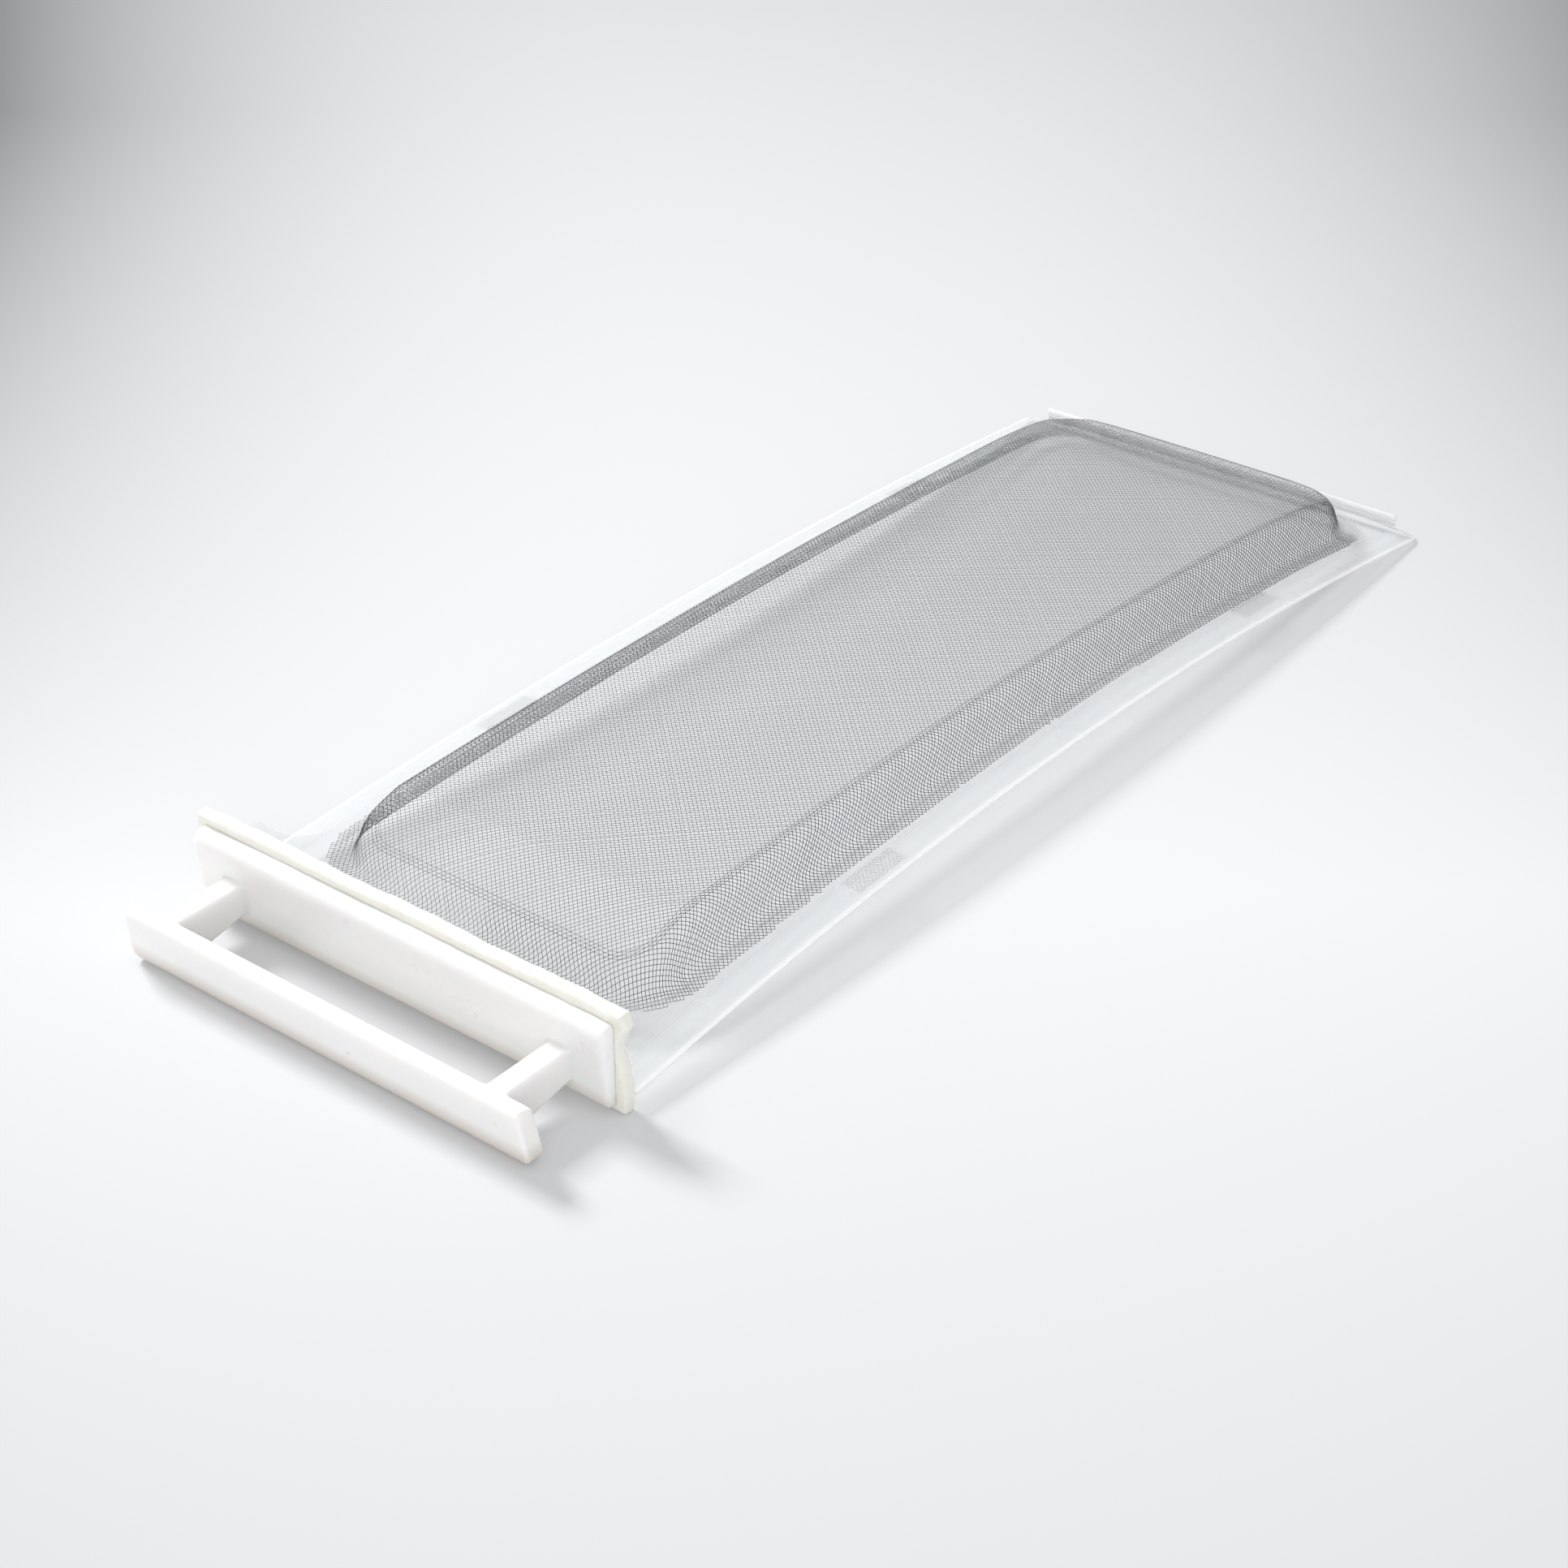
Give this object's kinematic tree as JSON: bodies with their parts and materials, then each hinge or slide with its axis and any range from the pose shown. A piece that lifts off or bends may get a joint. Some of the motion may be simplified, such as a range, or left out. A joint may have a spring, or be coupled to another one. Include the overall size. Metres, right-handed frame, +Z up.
{
  "type": "tumble dryer lint filter",
  "caption": "Long bowed lint filter with a pressed wire-cloth pan in a thin plastic frame, a felt seal and a pull handle.",
  "frame": {"origin": "middle of the bounding box on the floor the filter lies on", "axes": "+X across the width, +Y along the length from the handle to the far edge, +Z up from the floor through the pan's crown"},
  "size_m": [0.1736, 0.4792, 0.033],
  "materials": {
    "handle_plastic": "warm white moulded plastic, soft gloss",
    "felt": "cream needled felt with fuzzy cut edges",
    "frame_plastic": "milky, partly see-through moulded plastic",
    "wire_cloth": "grey woven wire",
    "screw_steel": "bright plated steel"
  },
  "bodies": {
    "root": {"handle": "handle_plastic", "felt_seal": "felt", "frame": "frame_plastic", "screen": "wire_cloth", "screws": "screw_steel"}
  },
  "joints": []
}
